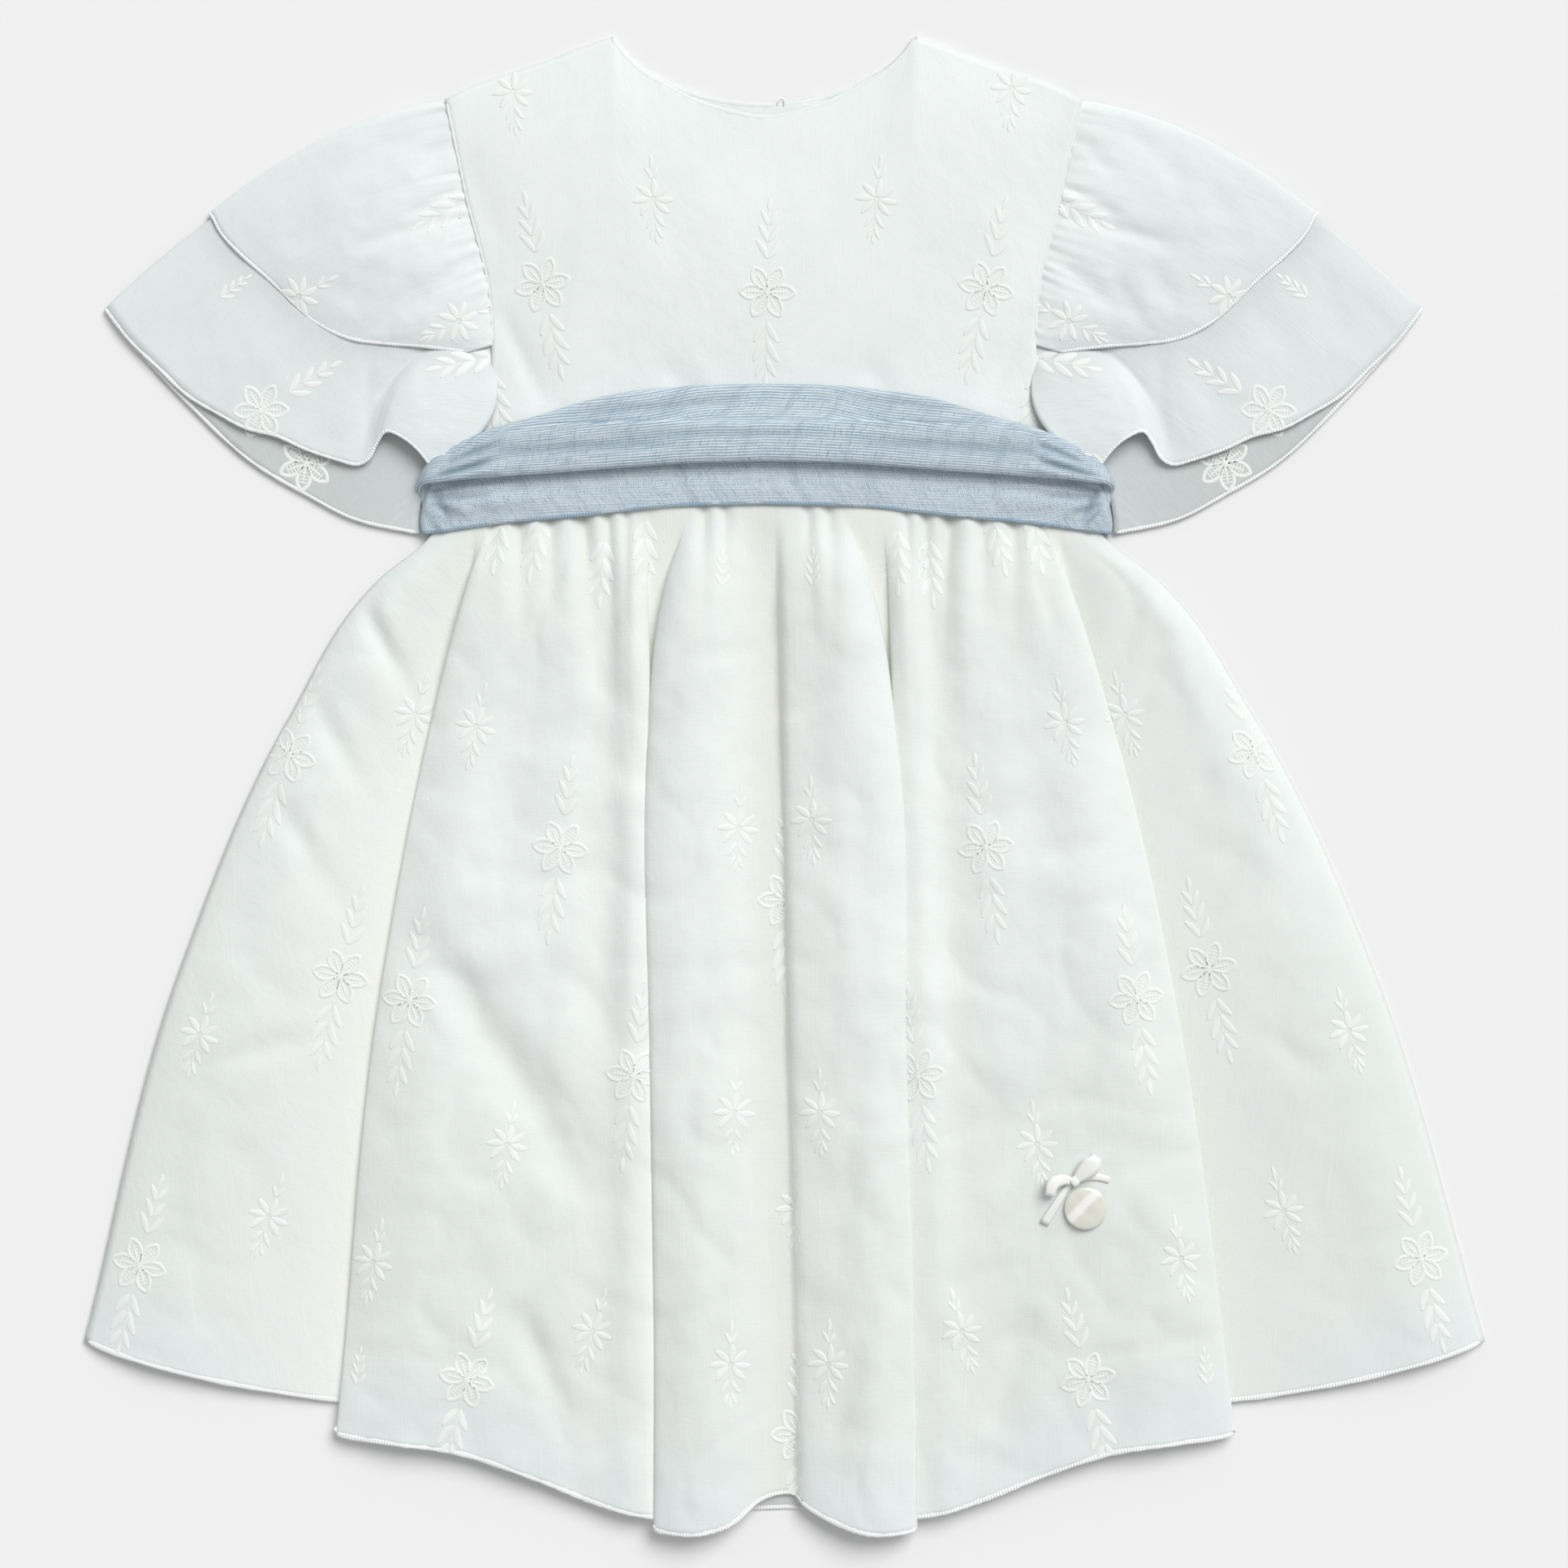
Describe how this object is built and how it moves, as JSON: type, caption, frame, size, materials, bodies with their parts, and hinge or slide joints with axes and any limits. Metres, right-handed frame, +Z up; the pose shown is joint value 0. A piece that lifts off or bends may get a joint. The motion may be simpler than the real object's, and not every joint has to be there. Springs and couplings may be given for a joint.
{
  "type": "embroidered dress",
  "caption": "Small child's dress laid flat: round neck, two-tier flutter sleeves, folded waist sash and a gathered skirt with deep pleats.",
  "frame": {"origin": "centre of the outline on the page, on the floor the dress lies on", "axes": "+X across the dress to the viewer's right, +Y from hem to neck, +Z up off the floor"},
  "size_m": [0.5545, 0.5926, 0.0165],
  "materials": {
    "voile": "matte fine weave",
    "chambray": "matte slubbed weave",
    "ribbon": "soft sheen",
    "shell": "polished shell",
    "resin": "satin"
  },
  "bodies": {
    "root": {"bodice_front": "voile", "bodice_back_left": "voile", "bodice_back_right": "voile", "skirt_front": "voile", "skirt_back": "voile", "sleeve_outer_left": "voile", "sleeve_outer_right": "voile", "sleeve_inner_left": "voile", "sleeve_inner_right": "voile", "sash": "chambray", "charm_loops": "ribbon", "charm_tails": "ribbon", "charm_disc": "shell", "neck_button": "resin"}
  },
  "joints": []
}
